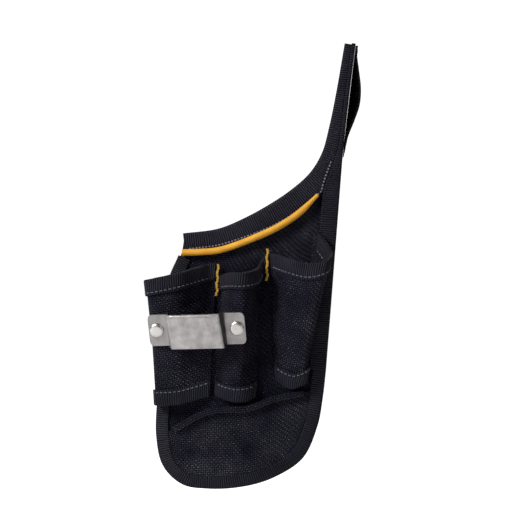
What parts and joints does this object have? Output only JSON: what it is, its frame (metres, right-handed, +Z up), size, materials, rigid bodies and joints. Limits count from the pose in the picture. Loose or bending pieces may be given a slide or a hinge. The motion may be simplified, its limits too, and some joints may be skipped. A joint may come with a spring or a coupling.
{
  "type": "electrician tool pouch",
  "caption": "Bound nylon belt pouch with a tall neck and belt loop, tool sleeves and a flat pocket on each side, and a steel clip for a tape measure.",
  "frame": {"origin": "middle of the belt tunnel, between the belt loop and the hip panel", "axes": "+Z up along the hanging pouch, +X towards the wearer's hip, and the side with the tape clip faces -Y"},
  "size_m": [0.1344, 0.0998, 0.3067],
  "materials": {
    "nylon": "coarse basket-woven ballistic nylon",
    "grosgrain": "ribbed grosgrain binding tape",
    "webbing": "heavy woven webbing",
    "lining": "plain woven lining",
    "yellow_cord": "smooth fabric-covered piping",
    "yellow_thread": "dense satin bartack stitching",
    "dark_thread": "dense satin bartack stitching",
    "stiffener_board": "polyethylene board",
    "clip_steel": "brushed, slightly warm spring steel",
    "rivet_steel": "bright flat-headed rivet"
  },
  "bodies": {
    "root": {"side_panel_near": "nylon", "side_panel_far": "nylon", "gusset": "nylon", "edge_tape_near": "grosgrain", "edge_tape_far": "grosgrain", "mouth_band_near": "grosgrain", "mouth_band_far": "grosgrain", "piping_near": "yellow_cord", "piping_far": "yellow_cord", "back_tape_near": "grosgrain", "back_tape_far": "grosgrain", "hip_panel": "nylon", "stiffener": "stiffener_board", "back_lining": "lining", "neck_binding": "grosgrain", "gusset_hem": "grosgrain", "belt_loop": "webbing", "belt_loop_bartack_top": "dark_thread", "belt_loop_bartack_low": "dark_thread", "front_sleeve_near": "nylon", "front_sleeve_far": "nylon", "front_sleeve_top_tape_near": "grosgrain", "front_sleeve_top_tape_far": "grosgrain", "front_sleeve_low_tape_near": "grosgrain", "front_sleeve_low_tape_far": "grosgrain", "middle_sleeve_near": "nylon", "middle_sleeve_far": "nylon", "middle_sleeve_top_tape_near": "grosgrain", "middle_sleeve_top_tape_far": "grosgrain", "middle_sleeve_low_tape_near": "grosgrain", "middle_sleeve_low_tape_far": "grosgrain", "back_sleeve_near": "nylon", "back_sleeve_far": "nylon", "back_sleeve_top_tape_near": "grosgrain", "back_sleeve_top_tape_far": "grosgrain", "back_sleeve_low_tape_near": "grosgrain", "back_sleeve_low_tape_far": "grosgrain", "front_bartack_near": "yellow_thread", "front_bartack_far": "yellow_thread", "back_bartack_near": "yellow_thread", "back_bartack_far": "yellow_thread", "flat_pocket_near": "nylon", "flat_pocket_far": "nylon", "flat_pocket_hem_near": "nylon", "flat_pocket_hem_far": "nylon", "tape_clip": "clip_steel", "front_rivet": "rivet_steel", "middle_rivet": "rivet_steel", "front_rivet_burr": "rivet_steel", "middle_rivet_burr": "rivet_steel"}
  },
  "joints": []
}
